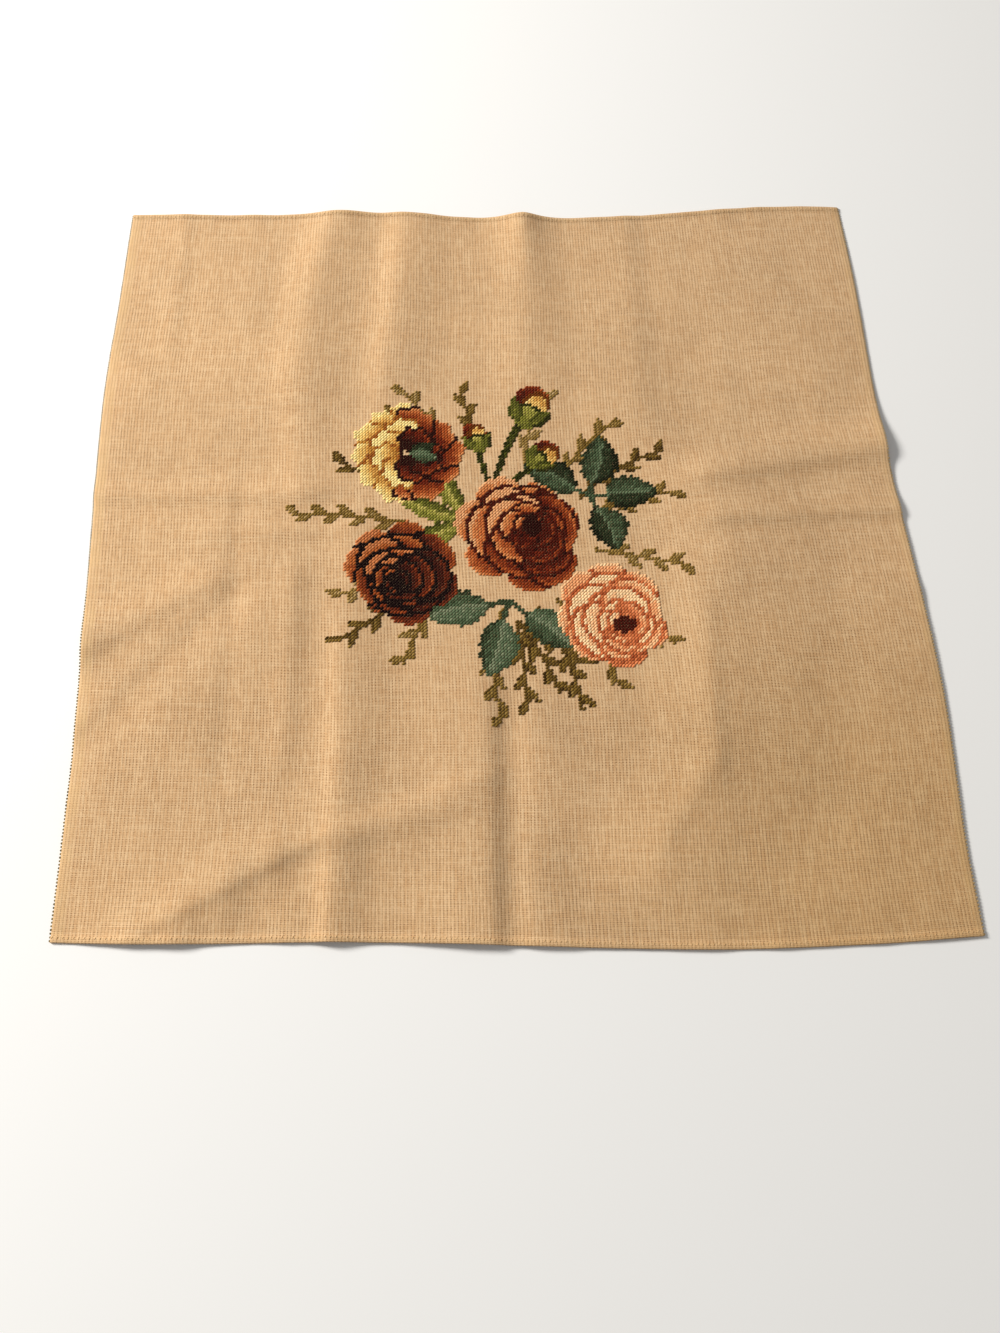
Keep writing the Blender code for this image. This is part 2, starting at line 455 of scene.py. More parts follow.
def bouquet():
    chart = Chart()
    chance = np.random.default_rng(27)
    for bearing in spaced(SPRAY_BEARINGS, SPRAY_COUNT, chance, SPRAY_STRAY):
        turn = math.radians(bearing)
        base = RIM_MIDDLE[0] + RIM_REACH[0] * math.cos(turn), RIM_MIDDLE[1] + RIM_REACH[1] * math.sin(turn)
        long, bow = chance.uniform(*SPRAY_LENGTHS), chance.uniform(-SPRAY_BOW, SPRAY_BOW)
        spray(chart, "sprigs", base, bearing, long, bow, chance.uniform(*SPRAY_TONES))
    for bearing in spaced(STEM_BEARINGS, STEM_COUNT, chance, STEM_STRAY):
        long, bow = chance.uniform(*STEM_LENGTHS), chance.uniform(-STEM_BOW, STEM_BOW)
        spray(chart, "stems", STEMS_FROM, bearing, long, bow, STEM_TONE)
    for name, fans in FANS.items():
        for kind in fans:
            fan(chart, name, kind, chance)
    for kind in BUDS:
        bud(chart, kind)
    carnation(chart, chance)
    for name, kind in ROSES.items():
        rose(chart, name, kind, chance)
    return chart


# ---------------------------------------------------------------------------------------------
# The cloth's lie: its outline and folds.

# A crease too fine for the frame: a soft ridge from start to end, walked from its near or left end,
# that reaches this far to its left and its right. Places are measured from the panel's middle.
Crease = namedtuple("Crease", "start end rise left right")
CREASES = {
    "far_inner": Crease((-0.099, 0.165), (-0.085, 0.360), 0.0016, 0.016, 0.034),
    "far_left_end": Crease((-0.297, 0.195), (-0.293, 0.350), 0.0007, 0.012, 0.008),
    "far_corner": Crease((-0.340, 0.185), (-0.250, 0.105), 0.0005, 0.007, 0.007),
    "left_upper": Crease((-0.345, 0.039), (-0.165, 0.038), 0.0018, 0.014, 0.007),
    "left_lower": Crease((-0.235, 0.002), (-0.145, 0.002), 0.0008, 0.010, 0.006),
    "left_upright": Crease((-0.222, 0.035), (-0.224, -0.205), -0.0007, 0.010, 0.008),
    "left_upper_streak": Crease((-0.343, -0.104), (-0.253, -0.049), 0.0013, 0.022, 0.009),
    "left_lower_streak": Crease((-0.341, -0.170), (-0.238, -0.051), 0.0010, 0.020, 0.009),
    "foot_upright": Crease((-0.176, -0.190), (-0.174, -0.045), 0.0013, 0.012, 0.010),
    "near_left_rib_crest": Crease((-0.137, -0.355), (-0.135, -0.105), 0.0006, 0.006, 0.006),
    "near_left_diagonal": Crease((-0.268, -0.325), (-0.153, -0.265), 0.0015, 0.022, 0.005),
    "near_inner_diagonal": Crease((-0.149, -0.267), (-0.050, -0.242), 0.0011, 0.014, 0.008),
    "near_inner_line": Crease((-0.140, -0.261), (-0.015, -0.214), 0.0009, 0.007, 0.012),
    "near_centre_edge": Crease((-0.013, -0.360), (-0.013, -0.180), 0.0004, 0.008, 0.006),
    "right_upper": Crease((0.185, 0.051), (0.345, 0.076), 0.0024, 0.022, 0.009),
    "right_middle": Crease((0.190, 0.008), (0.345, 0.013), 0.0022, 0.016, 0.006),
    "right_lower": Crease((0.195, -0.024), (0.340, -0.060), 0.0008, 0.008, 0.014),
    "right_swell_crest": Crease((0.163, -0.210), (0.166, -0.090), 0.0014, 0.018, 0.008),
    "right_swell_foot": Crease((0.122, -0.262), (0.160, -0.208), 0.0006, 0.014, 0.007),
}
CREASE_RUN_OUT = 0.022


def crease_height(crease, x, y):
    run = np.subtract(crease.end, crease.start)
    length = np.hypot(*run)
    from_x, from_y = x - crease.start[0], y - crease.start[1]
    along = (from_x * run[0] + from_y * run[1]) / length**2
    to_right = (from_x * run[1] - from_y * run[0]) / length
    beyond = np.abs(along - np.clip(along, 0, 1)) * length / CREASE_RUN_OUT
    reach = np.where(to_right > 0, crease.right, crease.left)
    return crease.rise * np.exp(-((to_right / reach) ** 2)) * np.exp(-(beyond**2))


class Lie:
    """Where each place of the cloth lies, from its shares of the way across and along the sheet."""

    def __init__(self, node):
        points = np.empty(len(node.data.vertices) * 3)
        node.data.vertices.foreach_get("co", points)
        points = points.reshape(-1, 3)
        faces = np.array([face.vertices[:] for face in node.data.polygons])
        self.sides = self.read_sides(points, faces)
        shares = np.linspace(0, 1, LIE_SAMPLES)
        across, along = np.meshgrid(shares, shares, indexing="ij")
        self.heights = self.read_heights(BVHTree.FromPolygons(points, faces), across, along)
        x, y = self.plan(across, along)
        for crease in CREASES.values():
            self.heights += crease_height(crease, x, y)
        self.heights += self.cockle()

    def read_sides(self, points, faces):
        """Each side's outline: shares of the way along it, and how far out it lies there."""
        edges = points[faces[:, 1]] - points[faces[:, 0]], points[faces[:, 2]] - points[faces[:, 0]]
        facing = unit(np.cross(*edges))
        rim = np.abs(facing[:, 2]) < 0.1
        sides = {}
        for name, axis, sign in (("left", 0, -1), ("right", 0, 1), ("near", 1, -1), ("far", 1, 1)):
            belongs = rim & (facing[:, axis] * sign > 0.7)
            places = np.unique(np.round(points[faces[belongs]].reshape(-1, 3)[:, :2], 6), axis=0)
            places = places[np.argsort(places[:, 1 - axis])]
            run = places[:, 1 - axis]
            sides[name] = (run - run[0]) / (run[-1] - run[0]), places[:, axis]
        return sides

    def plan(self, across, along):
        left, right = (np.interp(along, *self.sides[name]) for name in ("left", "right"))
        near, far = (np.interp(across, *self.sides[name]) for name in ("near", "far"))
        return left + (right - left) * across, near + (far - near) * along

    def read_heights(self, tree, across, along):
        """How far the frame's underside stands off the flat, found by looking up from below."""
        inside = (np.clip(share, 0.001, 0.999) for share in (across, along))
        x, y = self.plan(*inside)
        up = Vector((0, 0, 1))
        found = [tree.ray_cast(Vector((a, b, -1)), up)[0] for a, b in zip(x.flat, y.flat)]
        heights = np.array([hit.z if hit else 0.0 for hit in found]).reshape(x.shape)
        for axis, reach in enumerate(LIE_SMOOTHING):
            heights = blurred(heights, reach, axis)
        return heights

    def cockle(self):
        """The slight waves of a cloth that has been rolled: longer along the warp than across it."""
        waves = np.random.default_rng(5).normal(size=self.heights.shape)
        for axis, reach in enumerate(COCKLE_SMOOTHING):
            waves = blurred(waves, reach, axis)
        return COCKLE_HEIGHT * (waves - waves.min()) / np.ptp(waves)

    def underside(self, across, along):
        """Height of the cloth's underside, between its samples."""
        places = [np.clip(share, 0, 1) * (LIE_SAMPLES - 1) for share in (across, along)]
        low = [np.minimum(place.astype(int), LIE_SAMPLES - 2) for place in places]
        (s, t), (i, j) = (place - step for place, step in zip(places, low)), low
        near = self.heights[i, j] * (1 - s) + self.heights[i + 1, j] * s
        far = self.heights[i, j + 1] * (1 - s) + self.heights[i + 1, j + 1] * s
        return near * (1 - t) + far * t

    def points(self, across, along, above=0.0):
        x, y = self.plan(across, along)
        return np.stack([x, y, self.underside(across, along) + above], -1)

    def directions(self, across, along):
        """Unit vectors across and along the cloth, and out of its face."""
        step = 0.5 / MESHES
        to_right = unit(self.points(across + step, along) - self.points(across - step, along))
        to_far = unit(self.points(across, along + step) - self.points(across, along - step))
        return to_right, to_far, unit(np.cross(to_right, to_far))


def thickness(across, along):
    """The cloth's thickness: doubled threads at the hems, rounded off at every edge."""
    from_end = np.minimum(along, 1 - along) * FLAT_SIDE
    from_side = np.minimum(across, 1 - across) * FLAT_SIDE
    full = CLOTH_THICKNESS + HEM_EXTRA_THICKNESS * (from_end < HEM_WIDTH)
    inward = np.clip(np.minimum(from_end, from_side) / EDGE_ROUNDING, 0, 1)
    return full * (0.4 + 0.6 * np.sqrt(inward * (2 - inward)))


# ---------------------------------------------------------------------------------------------
# Materials.


# Where the two threads of a pair lie in a mesh, and how thick each is, as shares of the mesh.
WARP_PAIR = (0.36, 0.66, 0.155)
WEFT_PAIR = (0.28, 0.74, 0.15)


def weave_group():
    """Double-thread canvas. Warp threads lie close in pairs, weft threads further apart."""
    group = bpy.data.node_groups.new("double_thread_weave", "ShaderNodeTree")
    group.interface.new_socket("Threads", in_out="INPUT", socket_type="NodeSocketVector")
    for name in ("Height", "Cover", "Tone", "Slub"):
        group.interface.new_socket(name, in_out="OUTPUT", socket_type="NodeSocketFloat")
    at = Nodes(group)
    threads = at.add("NodeGroupInput").outputs["Threads"]
    split = at.add("ShaderNodeSeparateXYZ", {"Vector": threads}).outputs
    u, v = split["X"], split["Y"]

    def pair(place, first, second, radius):
        """A round pair of threads in each mesh, 1 on their crowns and 0 between them."""
        part = at.math("FRACT", place)
        aside = [at.math("ABSOLUTE", at.math("SUBTRACT", part, middle)) for middle in (first, second)]
        nearest = at.math("DIVIDE", at.math("MINIMUM", *aside), radius)
        fall = at.math("SUBTRACT", 1.0, at.math("MULTIPLY", nearest, nearest), clamp=True)
        return at.math("SQRT", fall)

    def crossing(steps, run):
        """1 where this set of threads passes over the other, -1 where it passes under."""
        turns = at.math("ADD", at.math("FLOOR", steps), at.math("SUBTRACT", run, 0.5))
        return at.math("COSINE", at.math("MULTIPLY", turns, math.pi))

    twice = at.math("MULTIPLY", v, 2.0)
    warp_over = crossing(u, twice)
    weft_under = crossing(twice, u)
    warp = at.math("MULTIPLY", pair(u, *WARP_PAIR), at.math("MULTIPLY_ADD", warp_over, 0.22, 0.74))
    weft = at.math("MULTIPLY", pair(v, *WEFT_PAIR), at.math("MULTIPLY_ADD", weft_under, -0.25, 0.76))
    height = at.math("MAXIMUM", warp, weft)
    weft_on_top = at.math("GREATER_THAN", weft, warp)

    def thread_tone(count, run, drift, seed):
        """A tone for each thread, which drifts along its length."""
        index = at.math("FLOOR", at.math("MULTIPLY", count, 2.0))
        place = at.vector(at.math("MULTIPLY", index, 3.71), at.math("MULTIPLY", run, drift), seed)
        return at.noise(place, 1.0, 3.0)

    warp_tone, weft_tone = thread_tone(u, v, 0.14, 0.0), thread_tone(v, u, 0.07, 7.0)
    warp_tone = at.math("MULTIPLY_ADD", warp_tone, 1.3, -0.15)
    weft_tone = at.math("MULTIPLY_ADD", weft_tone, 0.6, 0.2)
    tone = at.add("ShaderNodeMix", {0: weft_on_top, 2: warp_tone, 3: weft_tone}).outputs[0]
    index = at.math("FLOOR", twice)
    slub_place = at.vector(at.math("MULTIPLY", u, 0.08), at.math("MULTIPLY", index, 1.93), 3.0)
    slub = at.ramp(at.noise(slub_place, 1.0, 0.0), 0.62, 0.71)
    out = at.add("NodeGroupOutput").inputs
    at.feed(out["Height"], height)
    at.feed(out["Cover"], at.ramp(height, 0.10, 0.62))
    at.feed(out["Tone"], tone)
    at.feed(out["Slub"], slub)
    return group


def fibre_group():
    """Fine fibres, in any cloth or yarn: a value round 0.5."""
    group = bpy.data.node_groups.new("fine_fibres", "ShaderNodeTree")
    group.interface.new_socket("Place", in_out="INPUT", socket_type="NodeSocketVector")
    group.interface.new_socket("Scale", in_out="INPUT", socket_type="NodeSocketFloat")
    group.interface.new_socket("Value", in_out="OUTPUT", socket_type="NodeSocketFloat")
    at = Nodes(group)
    given = at.add("NodeGroupInput").outputs
    fuzz = at.noise(given["Place"], given["Scale"], 4.0)
    at.feed(at.add("NodeGroupOutput").inputs["Value"], fuzz)
    return group


WEAVE = weave_group()
FIBRES = fibre_group()

CANVAS_LIGHT = srgb(235, 200, 155)
CANVAS_MIDDLE = srgb(213, 170, 122)
# Painted shade in the holes between the threads, darker where they open wider.
CANVAS_HOLE_SHADE = srgb(158, 115, 75)
CANVAS_OPEN_HOLE_SHADE = srgb(136, 94, 58)
SELVAGE_COLOR = srgb(230, 192, 138)
SELVAGE_MESHES = (3.4, 2.4)
# Painted shade: the cloth is darkened and warmed towards its near right corner, where the light falls off.
# This is how much colour is left there.
NEAR_RIGHT_PAINTED_SHADE = (0.90, 0.87, 0.78, 1.0)


def new_material(name, roughness, sheen=0.0, gloss=0.25):
    """A material with a Principled shader, and a helper for its tree."""
    material = bpy.data.materials.new(name)
    material.use_nodes = True
    surface = material.node_tree.nodes["Principled BSDF"]
    surface.inputs["Roughness"].default_value = roughness
    surface.inputs["Sheen Weight"].default_value = sheen
    surface.inputs["Specular IOR Level"].default_value = gloss
    return material, Nodes(material.node_tree), surface.inputs


def canvas_material():
    material, at, surface = new_material("cotton_canvas", 0.92, 0.12)
    threads = at.add("ShaderNodeUVMap", uv_map="threads").outputs[0]
    place = at.add("ShaderNodeTexCoord").outputs["Object"]
    weave = at.group(WEAVE, Threads=threads)
    fibres = at.group(FIBRES, Place=place, Scale=900.0)["Value"]
    thread = at.mix(at.ramp(weave["Tone"], 0.30, 0.72), CANVAS_MIDDLE, CANVAS_LIGHT)
    thread = at.mix(at.math("MULTIPLY", weave["Slub"], 0.4), thread, CANVAS_LIGHT)
    split = at.add("ShaderNodeSeparateXYZ", {"Vector": threads}).outputs
    left = at.ramp(split["X"], SELVAGE_MESHES[0] - 0.3, SELVAGE_MESHES[0] + 0.3, 1.0, 0.0)
    right = at.ramp(split["X"], MESHES - SELVAGE_MESHES[1] - 0.3, MESHES - SELVAGE_MESHES[1] + 0.3)
    selvage = at.math("MAXIMUM", left, right)
    hem_meshes = HEM_WIDTH / MESH
    near = at.ramp(split["Y"], hem_meshes - 0.2, hem_meshes + 0.2, 1.0, 0.0)
    far = at.ramp(split["Y"], MESHES - hem_meshes - 0.2, MESHES - hem_meshes + 0.2)
    doubled = at.math("MAXIMUM", near, far)
    close = at.math("MAXIMUM", selvage, at.math("MULTIPLY", doubled, 0.6))
    # Painted shade shows where the threads' cover is low, in the holes and on the threads' flanks. A noise
    # and the closer weave at the selvages and hems fill some of it.
    filled = at.ramp(at.noise(place, 190.0, 2.0), 0.38, 0.66, 0.0, 0.55)
    cover = at.math("MAXIMUM", weave["Cover"], at.math("MAXIMUM", filled, at.math("MULTIPLY", close, 0.45)))
    painted_hole_shade = at.mix(at.ramp(at.noise(place, 14.0, 2.0), 0.35, 0.65), CANVAS_HOLE_SHADE, CANVAS_OPEN_HOLE_SHADE)
    worn = at.math("MULTIPLY", close, at.ramp(at.noise(place, 60.0, 2.0), 0.3, 0.7, 0.15, 0.5))
    color = at.mix(cover, painted_hole_shade, at.mix(worn, thread, SELVAGE_COLOR))
    # Painted shade, growing towards the near right corner.
    to_right = at.ramp(split["X"], 0.50 * MESHES, 0.90 * MESHES)
    to_near = at.ramp(split["Y"], 0.15 * MESHES, 0.50 * MESHES, 1.0, 0.0)
    painted_corner_shade = at.mix(1.0, color, NEAR_RIGHT_PAINTED_SHADE, "MULTIPLY")
    color = at.mix(at.math("MULTIPLY", to_right, to_near), color, painted_corner_shade)
    blotch = at.ramp(at.noise(place, 9.0, 3.0), 0.25, 0.75, 0.94, 1.04)
    fine = at.ramp(fibres, 0.25, 0.75, 0.93, 1.07)
    shade = at.math("MULTIPLY", blotch, fine)
    at.feed(surface["Base Color"], at.mix(1.0, color, at.vector(shade, shade, shade), "MULTIPLY"))
    relief = at.math("MULTIPLY_ADD", fibres, 0.15, weave["Height"])
    bump = at.add("ShaderNodeBump", {"Height": relief, "Strength": 0.55, "Distance": 0.0004})
    at.feed(surface["Normal"], bump.outputs[0])
    return material


def wool_material():
    """Wool of each stitch's own colour, with the turns of its ply, painted shade in the grooves between them,
    and its fuzz.
    """
    material, at, surface = new_material("wool_yarn", 0.95, 0.02, 0.04)
    yarn = at.add("ShaderNodeAttribute", attribute_name="yarn").outputs["Color"]
    strand = at.add("ShaderNodeUVMap", uv_map="strand").outputs[0]
    place = at.add("ShaderNodeTexCoord").outputs["Object"]
    fibres = at.group(FIBRES, Place=place, Scale=1600.0)["Value"]
    split = at.add("ShaderNodeSeparateXYZ", {"Vector": strand}).outputs
    turns = at.math("ADD", at.math("MULTIPLY", split["X"], 4.0), at.math("MULTIPLY", split["Y"], 3.0))
    ply = at.math("ABSOLUTE", at.math("SINE", at.math("MULTIPLY", turns, math.pi)))
    # Painted shade: the colour darkens in the grooves between the turns of the ply. The fibres vary it at
    # random.
    shade = at.math("MULTIPLY", at.ramp(ply, 0.0, 0.8, 0.80, 1.05), at.ramp(fibres, 0.2, 0.8, 0.85, 1.15))
    at.feed(surface["Base Color"], at.mix(1.0, yarn, at.vector(shade, shade, shade), "MULTIPLY"))
    relief = at.math("MULTIPLY_ADD", fibres, 0.5, ply)
    bump = at.add("ShaderNodeBump", {"Height": relief, "Strength": 0.5, "Distance": 0.00025})
    at.feed(surface["Normal"], bump.outputs[0])
    return material


# ---------------------------------------------------------------------------------------------
# The sheet.


def grid_shares():
    """Shares of the way over the sheet, closer together where its edges round off and hems end."""
    edge = np.array([0.0, 0.15, 0.5, 1.0]) * EDGE_ROUNDING / FLAT_SIDE
    hem = np.array([HEM_WIDTH * 0.999, HEM_WIDTH * 1.15]) / FLAT_SIDE
    fine = np.concatenate([edge, hem])
    middle = np.linspace(fine[-1] + 0.004, 1 - fine[-1] - 0.004, SHEET_CELLS - 2 * len(fine) + 1)
    return np.concatenate([fine, middle, 1 - fine[::-1]])


def canvas_sheet(lie, material):
    """The closed sheet, with a UV map that counts threads' meshes from its near left corner."""
    shares = grid_shares()
    count = len(shares)
    across, along = np.meshgrid(shares, shares, indexing="ij")
    under = lie.points(across, along)
    top = lie.points(across, along, thickness(across, along))
    number = np.arange(count * count).reshape(count, count)
    here, right, far, beyond = number[:-1, :-1], number[1:, :-1], number[:-1, 1:], number[1:, 1:]
    top_faces = np.stack([here, right, beyond, far], -1).reshape(-1, 4) + count * count
    under_faces = np.stack([here, far, beyond, right], -1).reshape(-1, 4)
    rim = np.concatenate([number[:, 0], number[-1, 1:], number[-2::-1, -1], number[0, -2:0:-1]])
    next_rim = np.roll(rim, -1)
    rim_faces = np.stack([rim, next_rim, next_rim + count * count, rim + count * count], -1)
    faces = np.concatenate([top_faces, under_faces, rim_faces])
    data = bpy.data.meshes.new("canvas")
    data.from_pydata(np.concatenate([under.reshape(-1, 3), top.reshape(-1, 3)]), [], faces.tolist())
    threads = np.stack([across, along], -1).reshape(-1, 2) * MESHES
    uv = data.uv_layers.new(name="threads")
    uv.data.foreach_set("uv", np.concatenate([threads, threads])[faces.ravel()].ravel())
    data.materials.append(material)
    data.shade_smooth()
    canvas = bpy.data.objects.new("canvas", data)
    bpy.context.scene.collection.objects.link(canvas)
    return canvas


# ---------------------------------------------------------------------------------------------
# Stitches.


def stitch_tree():
    """One plump strand on each point, lying along its lay attribute and facing out of the cloth."""
    tree = bpy.data.node_groups.new("raised_stitches", "GeometryNodeTree")
    tree.interface.new_socket("Geometry", in_out="INPUT", socket_type="NodeSocketGeometry")
    for name, value in (("Length", 0.0036), ("Width", 0.002), ("Height", 0.0012), ("Unevenness", 0.08)):
        socket = tree.interface.new_socket(name, in_out="INPUT", socket_type="NodeSocketFloat")
        socket.default_value = value
    for name, value in (("Sides", 8), ("Rings", 5), ("Seed", 1)):
        socket = tree.interface.new_socket(name, in_out="INPUT", socket_type="NodeSocketInt")
        socket.default_value = value
    tree.interface.new_socket("Material", in_out="INPUT", socket_type="NodeSocketMaterial")
    tree.interface.new_socket("Geometry", in_out="OUTPUT", socket_type="NodeSocketGeometry")
    at = Nodes(tree)
    given = at.add("NodeGroupInput").outputs
    round_shape = {"Segments": given["Sides"], "Rings": given["Rings"], "Radius": 0.5}
    ball = at.add("GeometryNodeMeshUVSphere", round_shape)
    strand = at.add(
        "GeometryNodeStoreNamedAttribute",
        {"Geometry": ball.outputs["Mesh"], "Name": "strand", "Value": ball.outputs["UV Map"]},
        data_type="FLOAT2",
        domain="CORNER",
    )
    lying = at.add(
        "GeometryNodeTransform",
        {"Geometry": strand.outputs[0], "Rotation": (0.0, math.pi / 2, 0.0)},
    )
    smooth = at.add("GeometryNodeSetShadeSmooth", {"Geometry": lying.outputs[0]})

    def point_vector(name):
        node = at.add("GeometryNodeInputNamedAttribute", {"Name": name}, data_type="FLOAT_VECTOR")
        return node.outputs["Attribute"]

    turn = at.add(
        "FunctionNodeAxesToRotation",
        {"Primary Axis": point_vector("facing"), "Secondary Axis": point_vector("lay")},
        primary_axis="Z",
        secondary_axis="X",
    )
    low = at.math("SUBTRACT", 1.0, given["Unevenness"])
    high = at.math("ADD", 1.0, given["Unevenness"])
    uneven = at.add("FunctionNodeRandomValue", data_type="FLOAT_VECTOR")
    at.feed(uneven.inputs[0], at.vector(low, low, low))
    at.feed(uneven.inputs[1], at.vector(high, high, high))
    at.feed(uneven.inputs["Seed"], given["Seed"])
    size = at.vector(given["Length"], given["Width"], given["Height"])
    scale = at.add("ShaderNodeVectorMath", {0: size, 1: uneven.outputs[0]}, operation="MULTIPLY")
    placed = at.add(
        "GeometryNodeInstanceOnPoints",
        {
            "Points": given["Geometry"],
            "Instance": smooth.outputs[0],
            "Rotation": turn.outputs[0],
            "Scale": scale.outputs[0],
        },
    )
    real = at.add("GeometryNodeRealizeInstances", {"Geometry": placed.outputs[0]})
    finished = at.add("GeometryNodeSetMaterial", {"Geometry": real.outputs[0], "Material": given["Material"]})
    at.feed(at.add("NodeGroupOutput").inputs[0], finished.outputs[0])
    return tree


STITCH_TREE = stitch_tree()


def stitches(name, points, lay, facing, colors, **inputs):
    """A piece of joined stitches, one on each point."""
    data = bpy.data.meshes.new(name)
    data.from_pydata(points, [], [])
    for key, values in (("lay", lay), ("facing", facing)):
        data.attributes.new(key, "FLOAT_VECTOR", "POINT").data.foreach_set("vector", values.ravel())
    data.attributes.new("yarn", "FLOAT_COLOR", "POINT").data.foreach_set("color", colors.ravel())
    piece = bpy.data.objects.new(name, data)
    bpy.context.scene.collection.objects.link(piece)
    modifier = piece.modifiers.new("stitches", "NODES")
    modifier.node_group = STITCH_TREE
    for socket in STITCH_TREE.interface.items_tree:
        if socket.in_out == "INPUT" and socket.name in inputs:
            modifier[socket.identifier] = inputs[socket.name]
    graph = bpy.context.evaluated_depsgraph_get()
    made = bpy.data.meshes.new_from_object(piece.evaluated_get(graph), depsgraph=graph)
    made.name = name
    piece.modifiers.remove(modifier)
    piece.data = made
    bpy.data.meshes.remove(data)
    return piece


STITCH_SIZE = {"Length": 0.0040, "Width": 0.0023, "Height": 0.0013, "Unevenness": 0.08}
STITCH_SLANT = 45
SLANT_UNEVENNESS = 5
STITCH_LIFT = 0.00015
DYE_UNEVENNESS = 0.05


def wool_motifs(lie, material):
    """The bouquet, as one piece of wool stitches for each motif."""
    chart = bouquet()
    shades = np.array([srgb(*shade) for shade in YARNS])
    random = np.random.default_rng(23)
    pieces = []
    for motif in sorted(set(chart.motif[chart.yarn >= 0])):
        worked = (chart.yarn >= 0) & (chart.motif == motif)
        across = 0.5 + (chart.x[worked] + BOUQUET_PLACE[0]) / MESHES
        along = 0.5 + (chart.y[worked] + BOUQUET_PLACE[1]) / MESHES
        to_right, to_far, facing = lie.directions(across, along)
        slant = np.radians(STITCH_SLANT + random.normal(0, SLANT_UNEVENNESS, len(across)))[:, None]
        lay = to_right * np.cos(slant) + to_far * np.sin(slant)
        points = lie.points(across, along, CLOTH_THICKNESS + STITCH_LIFT)
        dye = 1 + random.normal(0, DYE_UNEVENNESS, len(across))[:, None]
        colors = shades[chart.yarn[worked]] * np.concatenate([dye, dye, dye, np.ones_like(dye)], -1)
        seed = len(pieces) + 1
        name = "wool_" + motif
        piece = stitches(name, points, lay, facing, colors, Seed=seed, Material=material, **STITCH_SIZE)
        pieces.append(piece)
    return pieces


EDGE_THREADS = {
    # The left turns are dark partly from their own colour and partly from painted shadow along that outer
    # edge.
    "selvage_turns_left": (srgb(78, 72, 48), srgb(138, 120, 82)),
    "selvage_turns_right": (srgb(206, 172, 120), srgb(226, 196, 146)),
    "hem_stitches_near": (srgb(206, 165, 116), srgb(220, 182, 134)),
    "hem_stitches_far": (srgb(220, 190, 146), srgb(196, 158, 110)),
}
FEW_FACETS = {"Sides": 6, "Rings": 4}
TURN_SIZE = {"Length": 0.0030, "Width": 0.0022, "Height": 0.0010, "Unevenness": 0.12, **FEW_FACETS}
TURN_INSET = 0.0002
HEM_STITCH_SIZE = {"Length": 0.0022, "Width": 0.0006, "Height": 0.0006, "Unevenness": 0.2, **FEW_FACETS}
HEM_STITCH_INSET = HEM_WIDTH - 0.0008
HEM_STITCH_MESHES = 1.5


def edge_piece(name, lie, material, across, along, above, lay_share, size):
    """Threads on an edge. lay_share is how much of each strand's lay is across and along the cloth."""
    random = np.random.default_rng(len(name))
    to_right, to_far, facing = lie.directions(across, along)
    lay = unit(to_right * lay_share[0] + to_far * lay_share[1])
    first, second = (np.array(color) for color in EDGE_THREADS[name])
    share = random.random(len(across))[:, None]
    colors = first + (second - first) * share
    points = lie.points(across, along, above)
    return stitches(name, points, lay, facing, colors, Seed=len(name), Material=material, **size)


def edge_threads(lie, material):
    """The turns of the weft round both selvages, and the stitches that hold both hems down."""
    turns = (np.arange(MESHES) + 0.5) / MESHES
    hems = np.arange(0.5, MESHES, HEM_STITCH_MESHES) / MESHES
    inset, hem = TURN_INSET / FLAT_SIDE, HEM_STITCH_INSET / FLAT_SIDE
    low, high = np.full(MESHES, inset), np.full(MESHES, 1 - inset)
    hem_low, hem_high = np.full(len(hems), hem), np.full(len(hems), 1 - hem)
    middle = CLOTH_THICKNESS * 0.5
    hem_top = CLOTH_THICKNESS + HEM_EXTRA_THICKNESS
    round_edge, over_hem = (1, 0), (0.5, 1)
    return [
        edge_piece("selvage_turns_left", lie, material, low, turns, middle, round_edge, TURN_SIZE),
        edge_piece("selvage_turns_right", lie, material, high, turns, middle, round_edge, TURN_SIZE),
        edge_piece("hem_stitches_near", lie, material, hems, hem_low, hem_top, over_hem, HEM_STITCH_SIZE),
        edge_piece("hem_stitches_far", lie, material, hems, hem_high, hem_top, over_hem, HEM_STITCH_SIZE),
    ]


# ---------------------------------------------------------------------------------------------
# The stage: floor, light and camera.

CAMERA_TARGET = (-0.0043, -0.1230, 0.0)
CAMERA_AZIMUTH = math.radians(-2.52)
CAMERA_ELEVATION = math.radians(68.97)
CAMERA_ROLL = math.radians(1.23)
CAMERA_DISTANCE = 0.857
CAMERA_LENS = 28.6

FLOOR_HALF = 12.0
FLOOR_COLOR = (0.92, 0.92, 0.915, 1)
SKY_COLOR = (1.0, 0.985, 0.96, 1)
SKY_STRENGTH = 0.30
KEY_LIGHT_PLACE = (-2.85, 1.15, 1.65)
KEY_LIGHT_SIZE = 1.0
KEY_LIGHT_POWER = 185
KEY_LIGHT_COLOR = (1.0, 0.97, 0.92)


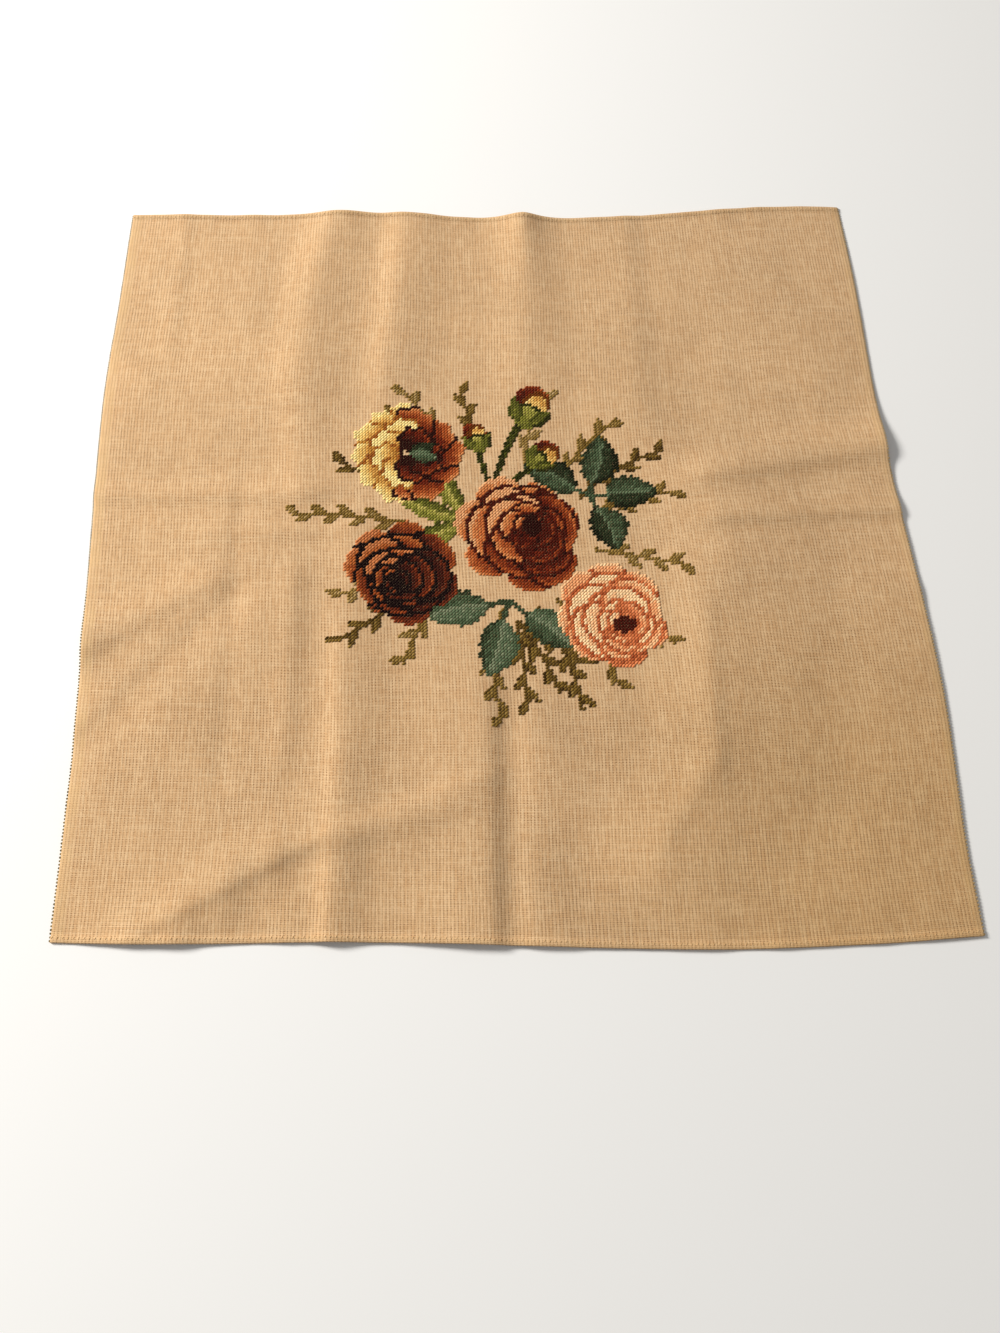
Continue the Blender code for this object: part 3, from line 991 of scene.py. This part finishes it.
def make_camera():
    data = bpy.data.cameras.new("camera")
    data.lens = CAMERA_LENS
    data.clip_start = 0.01
    camera = bpy.data.objects.new("camera", data)
    level = math.cos(CAMERA_ELEVATION)
    aside, behind = math.sin(CAMERA_AZIMUTH) * level, -math.cos(CAMERA_AZIMUTH) * level
    back = Vector((aside, behind, math.sin(CAMERA_ELEVATION)))
    right = Vector((0, 0, 1)).cross(back).normalized()
    upright = Matrix((right, back.cross(right), back)).transposed()
    camera.matrix_world = (
        Matrix.Translation(Vector(CAMERA_TARGET) + back * CAMERA_DISTANCE)
        @ Matrix.Rotation(CAMERA_ROLL, 4, back)
        @ upright.to_4x4()
    )
    bpy.context.scene.collection.objects.link(camera)
    bpy.context.scene.camera = camera


def make_key_light():
    """One soft light, from beyond the panel's left side."""
    data = bpy.data.lights.new("key_light", "AREA")
    data.shape = "DISK"
    data.size = KEY_LIGHT_SIZE
    data.energy = KEY_LIGHT_POWER
    data.color = KEY_LIGHT_COLOR
    light = bpy.data.objects.new("key_light", data)
    light.location = KEY_LIGHT_PLACE
    light.rotation_mode = "QUATERNION"
    light.rotation_quaternion = Vector(KEY_LIGHT_PLACE).to_track_quat("Z", "Y")
    bpy.context.scene.collection.objects.link(light)


def make_floor():
    data = bpy.data.meshes.new("floor")
    half = FLOOR_HALF
    corners = [(-half, -half, 0), (half, -half, 0), (half, half, 0), (-half, half, 0)]
    data.from_pydata(corners, [], [(0, 1, 2, 3)])
    material, _, surface = new_material("pale_floor", 0.8)
    surface["Base Color"].default_value = FLOOR_COLOR
    data.materials.append(material)
    floor = bpy.data.objects.new("floor", data)
    bpy.context.scene.collection.objects.link(floor)


def make_sky():
    world = bpy.data.worlds.new("soft_light")
    world.use_nodes = True
    sky = world.node_tree.nodes["Background"].inputs
    sky["Color"].default_value = SKY_COLOR
    sky["Strength"].default_value = SKY_STRENGTH
    bpy.context.scene.world = world


# ---------------------------------------------------------------------------------------------

make_camera()
make_floor()
make_sky()
make_key_light()
bpy.context.scene.view_settings.view_transform = "Standard"
lie = Lie(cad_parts["canvas_panel"])
canvas = canvas_sheet(lie, canvas_material())
wool = wool_material()
motifs = wool_motifs(lie, wool)
edges = edge_threads(lie, wool)

for piece in [canvas, *motifs, *edges]:
    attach(piece, "root")
    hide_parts("canvas_panel")
